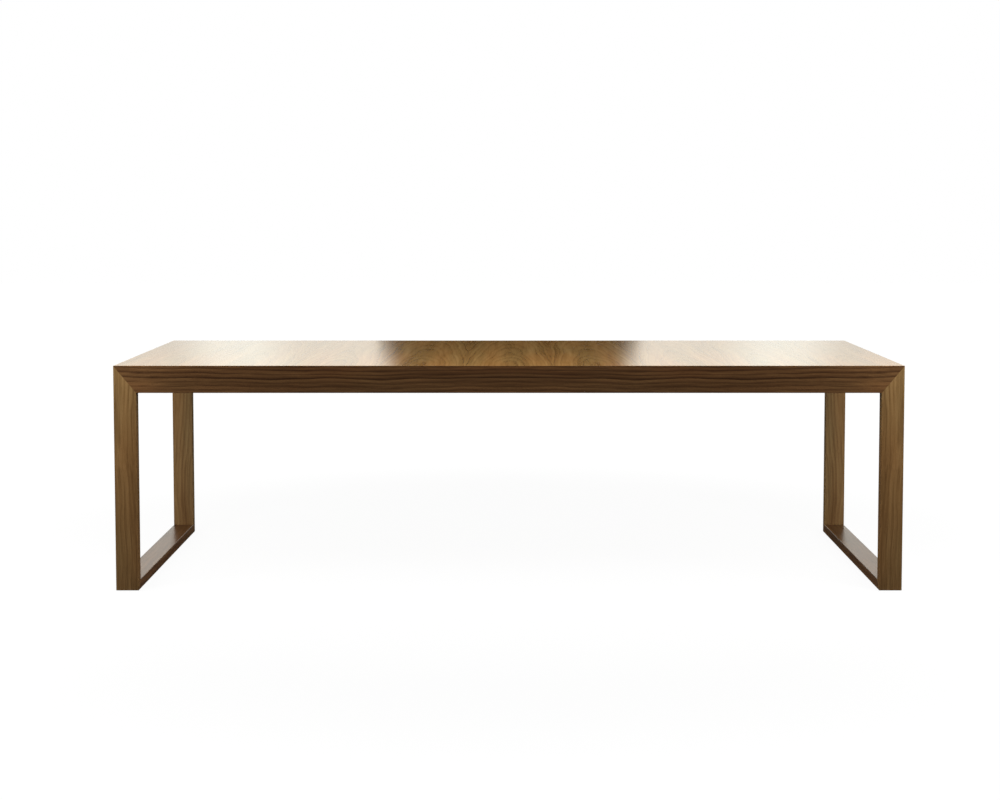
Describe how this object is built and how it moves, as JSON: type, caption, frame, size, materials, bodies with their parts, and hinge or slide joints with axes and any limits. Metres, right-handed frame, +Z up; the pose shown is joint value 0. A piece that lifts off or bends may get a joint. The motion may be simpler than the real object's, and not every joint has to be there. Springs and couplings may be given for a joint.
{
  "type": "dining table",
  "caption": "Long dining table with a flat top, flush mitred aprons and closed rectangular end frames whose legs join in floor rails, in brown lacquered wood.",
  "frame": {"origin": "on the floor under the middle of the table", "axes": "+X along the table, +Y from the front to the back, +Z up"},
  "size_m": [2.6, 1, 0.75],
  "materials": {
    "top_wood": "satin lacquered brown veneer, grain across the table",
    "apron_wood": "satin lacquered brown veneer, grain along the board",
    "leg_wood": "satin lacquered brown veneer, grain upright",
    "floor_rail_wood": "satin lacquered brown veneer, grain along the rail",
    "bearer_wood": "planed hardwood, clear sealed",
    "tenon_wood": "planed beech",
    "screw_steel": "zinc plated",
    "glide_plastic": "matte black nylon"
  },
  "bodies": {
    "root": {"top_panel": "top_wood", "front_apron": "apron_wood", "rear_apron": "apron_wood", "left_end_rail": "apron_wood", "right_end_rail": "apron_wood", "left_floor_rail": "floor_rail_wood", "right_floor_rail": "floor_rail_wood", "front_left_leg": "leg_wood", "front_right_leg": "leg_wood", "rear_left_leg": "leg_wood", "rear_right_leg": "leg_wood", "long_bearer_1": "bearer_wood", "long_bearer_2": "bearer_wood", "cross_bearer_1": "bearer_wood", "cross_bearer_2": "bearer_wood", "cross_bearer_3": "bearer_wood", "cross_bearer_4": "bearer_wood", "cross_bearer_5": "bearer_wood", "front_left_corner_block": "bearer_wood", "front_right_corner_block": "bearer_wood", "rear_left_corner_block": "bearer_wood", "rear_right_corner_block": "bearer_wood", "front_left_glide": "glide_plastic", "front_right_glide": "glide_plastic", "rear_left_glide": "glide_plastic", "rear_right_glide": "glide_plastic", "leg_apron_tenons": "tenon_wood", "leg_end_rail_tenons": "tenon_wood", "leg_floor_rail_tenons": "tenon_wood", "bearer_dowels": "tenon_wood", "top_fixing_screws": "screw_steel", "corner_block_screws": "screw_steel", "glide_screws": "screw_steel"}
  },
  "joints": []
}
